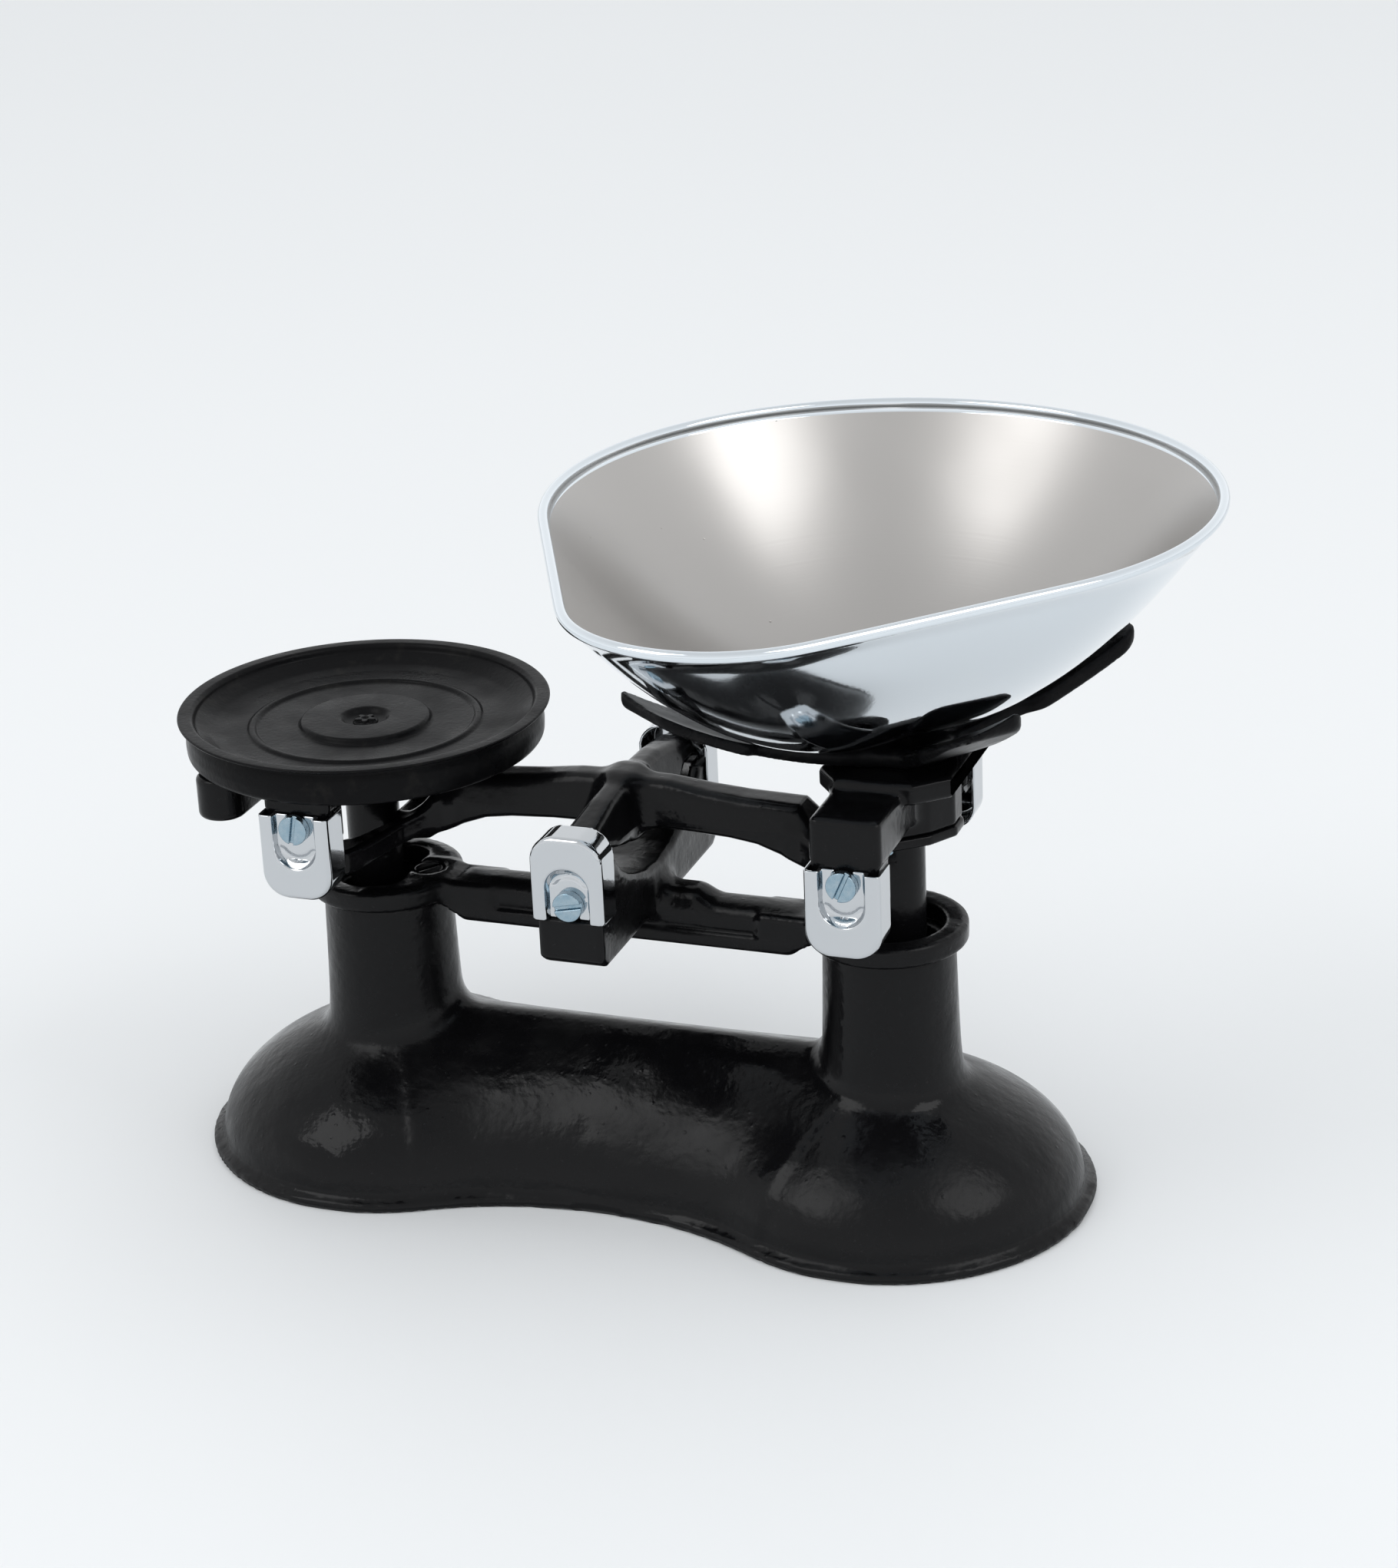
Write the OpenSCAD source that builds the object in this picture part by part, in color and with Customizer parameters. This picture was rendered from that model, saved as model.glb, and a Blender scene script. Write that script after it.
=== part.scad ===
// Equal-arm counter balance: cast base, bridge, beam on knife edges, weight plate
// and a lift-off pouring scoop, with a stay link that keeps both pans level.
// Units are millimetres. Z is up, X runs along the beam from the weight plate to
// the scoop, and the origin is the centre of the footprint on the bench.

/* [Beam geometry] */
// Centre knife to each end knife
arm = 80; // [60:0.5:100]
// Height of the three knife lines
knife_z = 108; // [100:0.5:120]
// Height of the stay link pivots
stay_z = 22; // [18:0.5:26]
// Gap between a knife edge and its bearing
knife_gap = 0.1; // [0.05:0.05:0.4]

/* [Base] */
// Distance of each hollow column from the centre
column_x = 77; // [70:0.5:85]
// Radius of each round lobe of the base
lobe_r = 58; // [50:0.5:65]
// Half width of the waist between the lobes
waist = 39; // [30:0.5:50]
// Thickness of the flat lip round the foot
lip_t = 2.5; // [1.5:0.1:4]
// Height of the saddle between the columns
saddle_z = 42.5; // [36:0.5:50]
// Wall thickness of the casting
wall = 5; // [4:0.5:7]
// Top of the hollow columns
column_top = 78.6; // [70:0.2:90]
// Radius of the hollow inside each column
bore_r = 14; // [12:0.5:15]

/* [Bridge] */
// Outer radius of the collar on each column
collar_r = 22.5; // [20:0.5:26]
// Height of the collar
collar_h = 6.1; // [4:0.1:9]
// Radius of the hole through the collar
collar_hole_r = 16; // [14:0.5:18]
// Underside of the bridge bar
bar_z = 73; // [70:0.5:76]
// Top of the bridge bar
bar_top = 89; // [84:0.5:92]
// Reach of the cradle ears front and back
ear_y = 45.2; // [44:0.1:46]

/* [Carriers] */
// Radius of the stem where it enters the column
stem_r = 7.8; // [5:0.1:9]
// Top face of the left carrier, under the weight plate
left_top = 125.2; // [122:0.1:130]
// Top face of the right carrier, under the scoop support
right_top = 134; // [130:0.1:138]

/* [Weight plate] */
// Radius of the plate rim
plate_r = 53.9; // [48:0.1:60]
// Top of the plate rim
plate_top = 135.6; // [130:0.1:140]

/* [Scoop] */
// Height of the rim
rim_z = 205; // [190:0.5:220]
// Underside of the bowl
bowl_z = 142; // [141:0.5:155]
// Radius of the round end
round_r = 92; // [80:0.5:100]
// Radius of the pouring end
pour_r = 42; // [25:0.5:50]
// Distance between the centres of the two ends
scoop_len = 89.9; // [70:0.5:120]
// Direction of the pouring end
scoop_turn = -98.7; // [-180:0.1:180]
// Thickness of the scoop wall
scoop_t = 1.2; // [0.8:0.1:2]
// Radius of the rolled rim bead
bead_r = 1.5; // [1:0.1:3]

/* [Hidden] */
$fn = 96;
eps = 0.01;
// Radius of the concave waist so it meets both lobes without a corner
waist_r = (column_x * column_x + waist * waist - lobe_r * lobe_r) / (2 * (lobe_r - waist));
waist_y = waist + waist_r;
saddle_low = saddle_z - 8;
// Dome of each lobe and the column it runs into
foot_r = 54.5;
dome_h = 40;
fillet = 8;
foot_z = 60;
column_foot_r = 19.6;
ridge_half_low = 37;
ridge_end = 70;
column_top_r = 18.7;
pin_r = 2.5;
run_gap = 0.05;
stay_half = 3;
eye_r = 7;
lug_t = 4;
stem_foot = stay_z - 9;
stem_top = 116;
// Screw sizes
screw_r = 2.5;
head_r = 4.25;
bridge_screw_x = 63.5;
// Bridge bar away from the cradle, and where its hump ends
bar_low_top = 86.4;
hump_x = 23;
head_h = 2.6;
slot_w = 1.3;
// Knife and bearing sections
knife_h = 7;
knife_half = knife_h * tan(30);
groove_h = 2.4;
groove_half = (groove_h + knife_gap) * tan(60);
bearing_half = 6.2;
bearing_seat = 104;
centre_knife_y = [30, 42.6];
centre_bearing_y = [36.5, 42.8];
end_knife_y = [30.5, 46];
end_bearing_y = [39, 46.2];
// Pressed covers over the knife ends
cap_half = 10.65;
cap_h = 24.9;
cap_depth = 10;
cap_t = 0.9;
recess_half = 6.25;
recess_h = 15.5;
recess_depth = 2.3;
cap_corner = 7.5;
centre_cap_y = 48.5;
centre_cap_z = 95.7;
end_cap_y = 51.8;
end_cap_z = 120.2;
centre_screw_in = 4.6;
end_screw_in = 3.9;
// Carrier bodies
block_half = 10;
block_out = 48.4;
block_in = 20;
block_low = 120.4;
flange_low = 131;
lid_screw_y = 14;
tine_top = knife_z - 3.7;
tine_low = 97;
// Box with the tare weight at the outer end of the left carrier
box_x = -111;
box_low = 111;
box_high = 12.6;
tare_half = [4, 28];
// Spider that carries the scoop
spider_t = 4.2;
hub_top = 137.2;
spider_low = hub_top + 0.1;
spider_top = spider_low + spider_t;
spider_screw_y = 8.5;
strap_half = 9;
leaf_half = 13;
arm_flat = 16;
hub_disc_r = 18;
// The arms start inside the disc, a little thinner than it
arm_root = 14.6;
arm_inset = 0.15;
// Each arm: heading, where the leaf starts, reach, rise and bend
arms = [
    [-40, 28, 45, 0.42, 0.0058],
    [33, 36, 66, 0.36, 0.0032],
    [-129, 52, 80, 0.24, 0.003],
    [146, 38, 72, 0.205, 0.003]];
bowl_at = [75.7, 7.2];
bowl_power = 2.1;
// How far the bead stands out from the rim line and above it
bead_out = 1;
bead_rise = 0.5;

// ---- helpers -------------------------------------------------------------

// Outer radius of a lobe at a height: a low dome that runs into the column with a fillet
function dome_r(z) = z < dome_h ? foot_r * pow(1 - pow(z / dome_h, 2.4), 0.85) : 5 * (dome_h - z);
function soft_max(a, b, k) = (a + b + sqrt(pow(a - b, 2) + k * k)) / 2;
function bell_r(z) = soft_max(dome_r(z), column_foot_r, fillet);

// Half width of the arched ridge between the columns at a height
function ridge_half(z, half, top) = half * pow(1 - pow(z / top, 1.8), 0.7);

// Copies children to the left and right
module both_x() {
    children();
    mirror([1, 0, 0]) children();
}

// Copies children to the front and back
module both_y() {
    children();
    mirror([0, 1, 0]) children();
}

// Places a front piece as it is or turned to the back
module side(rear) {
    if (rear) mirror([0, 1, 0]) children();
    else children();
}

// A profile drawn as (y, z) and run along X
module along_x(x0, x1) {
    translate([x0, 0, 0]) rotate([90, 0, 90]) linear_extrude(x1 - x0) children();
}

// A profile drawn as (x, z) and run along Y
module along_y(y0, y1) {
    translate([0, y1, 0]) rotate([90, 0, 0]) linear_extrude(y1 - y0) children();
}

module rod_y(x, z, r, y0, y1) {
    translate([x, y0, z]) rotate([-90, 0, 0]) cylinder(r = r, h = y1 - y0, $fn = 48);
}

// ---- base ----------------------------------------------------------------

// Rhombus that holds the waist between the two lobes
module waist_zone(h) {
    linear_extrude(h) polygon([[column_x, 0], [0, waist_y], [-column_x, 0], [0, -waist_y]]);
}

// Plan ring that cuts the concave sides, keeping step clear of each bell radius
module waist_cut(inset, top) {
    zs = [for (i = [0:12]) top * i / 12];
    for (s = [-1, 1]) translate([0, s * waist_y, 0]) rotate_extrude()
        polygon(concat(
            [[0, -1], [waist_r + lobe_r - bell_r(0) + inset, -1]],
            [for (z = zs) [waist_r + lobe_r - bell_r(z) + inset, z]],
            [[waist_r + lobe_r - bell_r(top) + inset, top + 1], [0, top + 1]]));
}

module saddle(inset, top) {
    difference() {
        waist_zone(top);
        waist_cut(inset, top);
    }
}

// Arched ridge along the waist
module ridge(half, top) {
    steps = 14;
    zs = [for (i = [0:steps]) top * sin(90 * i / steps)];
    along_x(-ridge_end, ridge_end) polygon(concat(
        [for (i = [0:steps - 1]) [-ridge_half(zs[i], half, top), zs[i]]],
        [[0, top]],
        [for (i = [steps - 1:-1:0]) [ridge_half(zs[i], half, top), zs[i]]]));
}

module bell() {
    zs = [for (i = [1:20]) foot_z * i / 20];
    rotate_extrude() polygon(concat(
        [[0, 0], [bell_r(0), 0]],
        [for (z = zs) [bell_r(z), z]],
        [[column_top_r, column_top], [0, column_top]]));
}

module bell_hollow() {
    zs = [for (i = [0:14]) (foot_z - wall) * i / 14];
    rotate_extrude() polygon(concat(
        [[0, -1], [bell_r(0) - wall, -1]],
        [for (z = zs) [max(bore_r, bell_r(z) - wall), z]],
        [[bore_r, foot_z], [bore_r, column_top + 1], [0, column_top + 1]]));
}

module lip() {
    both_x() translate([column_x, 0, 0]) cylinder(r = lobe_r, h = lip_t);
    difference() {
        waist_zone(lip_t);
        for (s = [-1, 1]) translate([0, s * waist_y, -1]) cylinder(r = waist_r, h = lip_t + 2);
    }
}

module stay_lug() {
    difference() {
        union() {
            rod_y(0, stay_z, eye_r, stay_half + 1, stay_half + 1 + lug_t);
            translate([-eye_r, stay_half + 1, stay_z])
                cube([2 * eye_r, lug_t, saddle_z - stay_z - 3]);
        }
        rod_y(0, stay_z, pin_r, stay_half, stay_half + 2 + lug_t);
    }
}

module base_casting() color([0.03, 0.03, 0.035]) {
    difference() {
        union() {
            both_x() translate([column_x, 0, 0]) bell();
            saddle(0, saddle_low);
            ridge(ridge_half_low, saddle_z);
            lip();
        }
        both_x() translate([column_x, 0, 0]) bell_hollow();
        translate([0, 0, -1]) saddle(wall, saddle_low - wall + 1);
        translate([0, 0, -0.01]) ridge(ridge_half_low - wall, saddle_z - wall);
    }
    both_y() stay_lug();
    // Tie rib across the waist, flush with the rim; the part's origin is its middle
    translate([-4, -waist + 3, 0]) cube([8, 2 * waist - 6, 6]);
}

module stay_pivot_pin() color([0.5, 0.5, 0.5])
    rod_y(0, stay_z, pin_r, -stay_half - 1 - lug_t, stay_half + 1 + lug_t);

module stay_link() color([0.35, 0.35, 0.37]) {
    difference() {
        union() {
            for (x = [-arm, 0, arm]) rod_y(x, stay_z, eye_r, -stay_half, stay_half);
            translate([-arm, -stay_half, stay_z - 4.5]) cube([2 * arm, 2 * stay_half, 9]);
        }
        for (x = [-arm, 0, arm])
            rod_y(x, stay_z, pin_r + run_gap, -stay_half - 1, stay_half + 1);
    }
}

// ---- bridge --------------------------------------------------------------

module bar_section(top) {
    translate([0, top - 7]) circle(r = 7);
    translate([-7, bar_z + 3]) square([14, top - bar_z - 10]);
    translate([-8.2, bar_z]) square([16.4, 5]);
}

module cradle_section() {
    polygon([
        [-47.3, 95.6], [-47.3, 84], [-44, 81.5], [44, 81.5], [47.3, 84], [47.3, 95.6],
        [ear_y, 95.6], [ear_y, 110.2], [34.5, 110.2], [29.7, 105], [24, 101.3], [17.7, 98.6],
        [10, 96.4], [0, 95.4], [-10, 96.4], [-17.7, 98.6], [-24, 101.3], [-29.7, 105],
        [-34.5, 110.2], [-ear_y, 110.2], [-ear_y, 95.6]]);
}

module bridge_casting() color([0.03, 0.03, 0.035]) {
    difference() {
        union() {
            along_x(-51, 51) bar_section(bar_low_top);
            along_x(-hump_x, hump_x) bar_section(bar_top);
            along_x(-9.4, 9.4) cradle_section();
            both_x() {
                translate([column_x, 0, column_top + 0.05]) cylinder(r = collar_r, h = collar_h);
                along_y(-8, 8) polygon([
                    [45, bar_z], [51.5, bar_z], [56, bar_z + 4], [60, column_top + 0.1],
                    [60, column_top + collar_h], [45, column_top + collar_h]]);
                translate([50, -8, column_top + 0.05]) cube([20, 16, collar_h]);
            }
        }
        both_x() intersection() {
            translate([column_x, 0, column_top - 1]) cylinder(r = collar_hole_r, h = 20);
            translate([67.7, -30, column_top - 1]) cube([60, 60, 20]);
        }
        both_x() translate([bridge_screw_x, 0, column_top - 1]) {
            cylinder(r = screw_r, h = 20, $fn = 48);
            translate([0, 0, collar_h - 1.2]) cylinder(r = head_r + 0.8, h = 20, $fn = 48);
        }
        both_y() {
            translate([-bearing_half - 0.02, -43.2, bearing_seat])
                cube([2 * bearing_half + 0.04, 6.72, 8]);
            translate([-bearing_half - 0.02, -43.2, 105.6])
                cube([2 * bearing_half + 0.04, 16, 6]);
            rod_y(0, centre_cap_z + centre_screw_in, screw_r, -46, -36);
        }
    }
}

// Slotted cheese-head screws sunk into the bridge, one at each collar
module bridge_screws() color([0.35, 0.35, 0.37]) both_x()
    translate([bridge_screw_x, 0, column_top + collar_h - 2.15]) difference() {
        union() {
            cylinder(r = head_r, h = head_h, $fn = 48);
            translate([0, 0, -3.8]) cylinder(r = screw_r, h = 4, $fn = 48);
        }
        translate([-head_r - 1, -slot_w / 2, head_h - 1.2]) cube([2 * head_r + 2, slot_w, 3]);
    }

// ---- knives and bearings -------------------------------------------------

module knife(y0, y1, up) {
    tip = knife_z;
    back = up ? knife_z - knife_h : knife_z + knife_h;
    along_y(y0, y1) polygon([[0, tip], [knife_half, back], [-knife_half, back]]);
}

module bearing(y0, y1, up, back) {
    mouth = up ? knife_z - groove_h : knife_z + groove_h;
    root = up ? knife_z + knife_gap : knife_z - knife_gap;
    along_y(y0, y1) polygon([
        [-bearing_half, back], [-bearing_half, mouth], [-groove_half, mouth], [0, root],
        [groove_half, mouth], [bearing_half, mouth], [bearing_half, back]]);
}

module centre_bearing(rear) color([0.6, 0.6, 0.62]) side(rear)
    bearing(-centre_bearing_y[1], -centre_bearing_y[0], false, bearing_seat);
module centre_bearing_front() centre_bearing(false);
module centre_bearing_rear() centre_bearing(true);

module end_bearing(x, rear) color([0.6, 0.6, 0.62]) translate([x, 0, 0]) side(rear)
    bearing(-end_bearing_y[1], -end_bearing_y[0], true, 110.5);
module left_bearing_front() end_bearing(-arm, false);
module left_bearing_rear() end_bearing(-arm, true);
module right_bearing_front() end_bearing(arm, false);
module right_bearing_rear() end_bearing(arm, true);

module centre_knife(rear) color([0.6, 0.6, 0.62]) side(rear)
    knife(-centre_knife_y[1], -centre_knife_y[0], false);
module centre_knife_front() centre_knife(false);
module centre_knife_rear() centre_knife(true);

module end_knife(x, rear) color([0.6, 0.6, 0.62]) translate([x, 0, 0]) side(rear)
    knife(-end_knife_y[1], -end_knife_y[0], true);
module left_knife_front() end_knife(-arm, false);
module left_knife_rear() end_knife(-arm, true);
module right_knife_front() end_knife(arm, false);
module right_knife_rear() end_knife(arm, true);

// ---- beam ----------------------------------------------------------------

module beam_side() {
    polygon([
        [0, 121.6], [14, 121.2], [25, 119.6], [36, 118.6], [53, 118], [58, 112],
        [63, tine_top], [66, tine_top], [66, tine_low], [60, tine_low], [57, 99], [49, 102.8],
        [41, 105.8], [33, 107], [20, 107.8], [0, 108], [-20, 107.8], [-33, 107],
        [-41, 105.8], [-49, 102.8], [-57, 99], [-60, tine_low], [-66, tine_low],
        [-66, tine_top], [-63, tine_top],
        [-58, 112], [-53, 118], [-36, 118.6], [-25, 119.6], [-14, 121.2]]);
}

module beam_end() {
    polygon([[-8.2, 110], [-6.8, 117], [-3.5, 121.6], [3.5, 121.6], [6.8, 117], [8.2, 110],
        [7.2, 96], [-7.2, 96]]);
}

module cross_side() {
    polygon([
        [-42.8, 112], [-42.8, 116.5], [-38, 118], [-20, 120.8], [-8, 121.6], [8, 121.6],
        [20, 120.8], [38, 118], [42.8, 116.5], [42.8, 112], [33, 112], [26, 109.4],
        [17, 106.4], [8, 104.5], [-8, 104.5], [-17, 106.4], [-26, 109.4], [-33, 112]]);
}

module cross_end() {
    polygon([[-7.2, 110], [-6.4, 114.5], [-3.2, 121.6], [3.2, 121.6], [6.4, 114.5],
        [7.2, 110], [5.5, 104], [-5.5, 104]]);
}

module yoke() {
    translate([0, 0, tine_low]) linear_extrude(tine_top - tine_low) polygon([
        [55, 7.2], [63, 16], [68.5, 32], [71, 38.5], [75, 38.6], [86.5, 38.6],
        [86.5, 29.5], [79, 28.5], [74, 24], [69.5, 14], [68, 6], [68, -6], [69.5, -14],
        [74, -24], [79, -28.5], [86.5, -29.5], [86.5, -38.6], [75, -38.6], [71, -38.5],
        [68.5, -32], [63, -16], [55, -7.2]]);
}

module beam_casting() color([0.03, 0.03, 0.035]) {
    difference() {
        union() {
            intersection() {
                along_y(-10, 10) beam_side();
                along_x(-70, 70) beam_end();
            }
            intersection() {
                along_x(-8, 8) cross_side();
                along_y(-44, 44) cross_end();
            }
            both_x() yoke();
        }
        both_y() {
            knife(-centre_knife_y[1] - 1, -centre_knife_y[0], false);
            for (x = [-arm, arm]) translate([x, 0, 0])
                knife(-end_knife_y[1], -end_knife_y[0], true);
        }
    }
}

// ---- knife covers --------------------------------------------------------

// Outline of a cover with a rounded end, drawn from its open end
module arch(half, h, corner) {
    for (s = [-1, 1]) translate([s * (half - corner), h - corner]) circle(r = corner);
    translate([corner - half, 0]) square([2 * (half - corner), h]);
    translate([-half, 0]) square([2 * half, h - corner]);
}

module cap_shell() {
    difference() {
        union() {
            difference() {
                linear_extrude(cap_depth) arch(cap_half, cap_h, cap_corner);
                translate([0, -1, -1]) linear_extrude(cap_depth - cap_t + 1)
                    arch(cap_half - cap_t, cap_h - cap_t + 1, cap_corner - cap_t);
            }
            translate([0, 0, cap_depth - recess_depth - cap_t])
                linear_extrude(recess_depth + cap_t / 2)
                arch(recess_half + cap_t, recess_h + cap_t, 5);
        }
        translate([0, -1, cap_depth - recess_depth])
            linear_extrude(recess_depth + 1) arch(recess_half, recess_h + 1, 4.5);
        translate([0, -1, 0]) linear_extrude(cap_depth + 1) arch(screw_r + 0.1, 8.4, screw_r);
    }
}

// Cover standing at the front with its plate facing -Y
module cap(x, y, z, down) {
    translate([x, -y, z]) rotate([90, 0, 0]) translate([0, 0, -cap_depth])
        scale([1, down ? -1 : 1, 1]) cap_shell();
}

module cap_screw(x, y, z, turn) {
    translate([x, -y + recess_depth, z]) rotate([90, turn, 0]) difference() {
        union() {
            cylinder(r = head_r, h = head_h, $fn = 48);
            translate([0, 0, -7.5]) cylinder(r = screw_r, h = 8, $fn = 48);
        }
        translate([-head_r - 1, -slot_w / 2, head_h - 1.2]) cube([2 * head_r + 2, slot_w, 3]);
    }
}

module centre_cap(rear) color([0.75, 0.75, 0.76]) side(rear)
    cap(0, centre_cap_y, centre_cap_z, false);
module centre_cap_front() centre_cap(false);
module centre_cap_rear() centre_cap(true);
module end_cap(x, rear) color([0.75, 0.75, 0.76]) side(rear) cap(x, end_cap_y, end_cap_z, true);
module left_cap_front() end_cap(-arm, false);
module left_cap_rear() end_cap(-arm, true);
module right_cap_front() end_cap(arm, false);
module right_cap_rear() end_cap(arm, true);

module centre_cap_screws() color([0.4, 0.45, 0.5]) both_y()
    cap_screw(0, centre_cap_y, centre_cap_z + centre_screw_in, -14);
module left_cap_screws() color([0.4, 0.45, 0.5]) both_y()
    cap_screw(-arm, end_cap_y, end_cap_z - end_screw_in, 80);
module right_cap_screws() color([0.4, 0.45, 0.5]) both_y()
    cap_screw(arm, end_cap_y, end_cap_z - end_screw_in, 67);

// ---- carriers ------------------------------------------------------------

// Lug below each end block: takes the bearing and the cover screw
module carrier_lug(x, top) {
    difference() {
        translate([x - 9.2, -block_out, 110.5]) cube([18.4, block_out - 38, top - 110.5]);
        translate([x, -end_cap_y + recess_depth, end_cap_z - end_screw_in])
            rotate([90, 0, 0]) translate([0, 0, -8.6]) cylinder(r = screw_r, h = 10, $fn = 48);
    }
}

module left_carrier() color([0.03, 0.03, 0.035]) {
    both_y() {
        translate([-arm - block_half, -block_out, block_low])
            cube([2 * block_half, block_out - block_in, left_top - block_low]);
        carrier_lug(-arm, block_low + 1);
    }
    translate([-arm - block_half, -24, stem_top]) cube([2 * block_half, 48, left_top - stem_top]);
    translate([-104.6, -8, stem_top]) cube([18, 16, left_top - stem_top - 1.4]);
    difference() {
        union() {
            for (y = [-33, 33]) translate([box_x, y, box_low]) cylinder(r = 7, h = box_high);
            translate([box_x - 7, -33, box_low]) cube([14, 66, box_high]);
        }
        translate([box_x - tare_half[0], -tare_half[1], 113.5])
            cube([2 * tare_half[0], 2 * tare_half[1], 8]);
    }
}

// Loose weight shut inside the box at the outer end of the left carrier
module tare_lead() color([0.3, 0.3, 0.32])
    translate([box_x - tare_half[0], -tare_half[1], 113.5])
        cube([2 * tare_half[0], 2 * tare_half[1], 8]);

module stem(x) {
    difference() {
        translate([x, 0, stem_foot]) cylinder(r = stem_r, h = stem_top - stem_foot);
        translate([x - 10, -stay_half - 0.5, stem_foot - 1])
            cube([20, 2 * stay_half + 1, eye_r + 12.5]);
        rod_y(x, stay_z, pin_r, -10, 10);
    }
}

module left_stem() color([0.03, 0.03, 0.035]) stem(-arm);
module right_stem() color([0.03, 0.03, 0.035]) stem(arm);
module left_stay_pin() color([0.5, 0.5, 0.5]) rod_y(-arm, stay_z, pin_r, -7.2, 7.2);
module right_stay_pin() color([0.5, 0.5, 0.5]) rod_y(arm, stay_z, pin_r, -7.2, 7.2);

// Plan of the flange on top of the hub
module flange_plan() {
    polygon([[22, -19.5], [22, 19.5], [13, 28], [-9, 28], [-15.5, 20], [-15.5, -20],
        [-9, -28], [13, -28]]);
}

// Plan of the box below it and of its lid
module box_plan(inset) {
    a = 18.3 - inset;
    b = 18.8 - inset;
    polygon([[a, -3.5], [a, 3.5], [a - 5, b - 7.3], [4, b], [-4, b], [5 - a, b - 7.3],
        [-a, 3.5], [-a, -3.5], [5 - a, 7.3 - b], [-4, -b], [4, -b], [a - 5, 7.3 - b]]);
}

module right_carrier() color([0.03, 0.03, 0.035]) {
    both_y() {
        translate([arm - block_half, -block_out, block_low])
            cube([2 * block_half, block_out - block_in, right_top - block_low]);
        carrier_lug(arm, block_low + 1);
    }
    difference() {
        union() {
            translate([arm, 0, stem_top]) linear_extrude(flange_low - stem_top + 1) box_plan(0.5);
            translate([arm - block_half, -block_in - 1, block_low])
                cube([2 * block_half, 2 * block_in + 2, flange_low - block_low + 1]);
            translate([arm, 0, flange_low]) linear_extrude(hub_top - flange_low) flange_plan();
        }
        difference() {
            translate([arm, 0, stem_top - 1]) linear_extrude(11) box_plan(3);
            translate([arm, 0, stem_top - 2]) cylinder(r = 10.5, h = 13);
            both_y() translate([arm, -lid_screw_y, stem_top - 2]) cylinder(r = 3.2, h = 13, $fn = 48);
        }
        both_y() {
            translate([arm, spider_screw_y, hub_top - 6.2]) cylinder(r = screw_r, h = 8, $fn = 48);
            translate([arm, -lid_screw_y, stem_top - 1]) cylinder(r = 1.5, h = 9, $fn = 48);
        }
    }
}

module box_lid() color([0.03, 0.03, 0.035]) difference() {
    translate([arm, 0, stem_top - 3]) linear_extrude(3) box_plan(0);
    translate([arm, 0, stem_top - 4]) cylinder(r = stem_r + 0.3, h = 6);
    both_y() translate([arm, -lid_screw_y, stem_top - 4]) cylinder(r = 1.7, h = 6, $fn = 48);
}

module lid_screws() color([0.5, 0.5, 0.5]) both_y() translate([arm, -lid_screw_y, stem_top]) {
    translate([0, 0, -5.2]) cylinder(r = 3, h = 2.2, $fn = 48);
    translate([0, 0, -4]) cylinder(r = 1.5, h = 11, $fn = 48);
}

module balance_lead() color([0.3, 0.3, 0.32])
    translate([arm + 12.9, 0, stem_top]) cylinder(r = 2, h = 10, $fn = 48);

// ---- weight plate --------------------------------------------------------

module weight_plate() color([0.05, 0.05, 0.055]) translate([-arm, 0, 0]) difference() {
    rotate_extrude($fn = 144) polygon([
        [0, left_top + 0.4], [10, left_top + 0.4], [12, left_top], [49.8, left_top],
        [49.9, left_top - 0.9], [51, left_top - 1], [51.7, left_top], [51.9, left_top + 3],
        [51.5, left_top + 6], [50.5, left_top + 8], [50.8, plate_top - 1.6],
        [plate_r - 0.5, plate_top - 1],
        [plate_r, plate_top - 0.4], [plate_r - 0.5, plate_top], [50, plate_top],
        [48.9, plate_top - 0.8], [47.6, plate_top - 2.8], [45, plate_top - 4.6],
        [41, plate_top - 5.4], [35, plate_top - 5.6], [33.6, plate_top - 4.9],
        [32, plate_top - 4.9], [30.6, plate_top - 5.8], [19.2, plate_top - 5.9],
        [18.4, plate_top - 4.2], [7, plate_top - 4.2], [5.6, plate_top - 6],
        [0, plate_top - 6.6]]);
    translate([0, 0, left_top - 1]) cylinder(r = 3, h = 12, $fn = 48);
}

module plate_rivet() color([0.05, 0.05, 0.055]) translate([-arm, 0, left_top]) {
    cylinder(r = 3, h = 4.4, $fn = 48);
    translate([0, 0, 4.2]) cylinder(r1 = 3.6, r2 = 2.8, h = 0.9, $fn = 48);
}

// ---- scoop and its support -----------------------------------------------

// Point on the rim whose outward direction is a
function rim_at(a) =
    let (axis = [cos(scoop_turn), sin(scoop_turn)],
        back = bowl_at,
        n = [cos(a), sin(a)],
        front = back + scoop_len * axis,
        far = front * n + pour_r > back * n + round_r)
    far ? front + pour_r * n : back + round_r * n;

// Point on the bowl at a fraction s of the way from its lowest point to the rim
function bowl_at_s(a, s, t) =
    let (r = rim_at(a), depth = rim_z - bowl_z)
    [bowl_at[0] + s * (r[0] - bowl_at[0]) - t * s * cos(a),
     bowl_at[1] + s * (r[1] - bowl_at[1]) - t * s * sin(a),
     bowl_z + depth * pow(s, bowl_power) + t * (1 - s * 0.75)];

// Point on the rolled bead at the rim
function bead_at(a, b) =
    let (r = rim_at(a))
    let (out = bead_r * (cos(b) - 1) + bead_out)
    [r[0] + out * cos(a), r[1] + out * sin(a), rim_z + bead_rise + bead_r * sin(b)];

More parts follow.
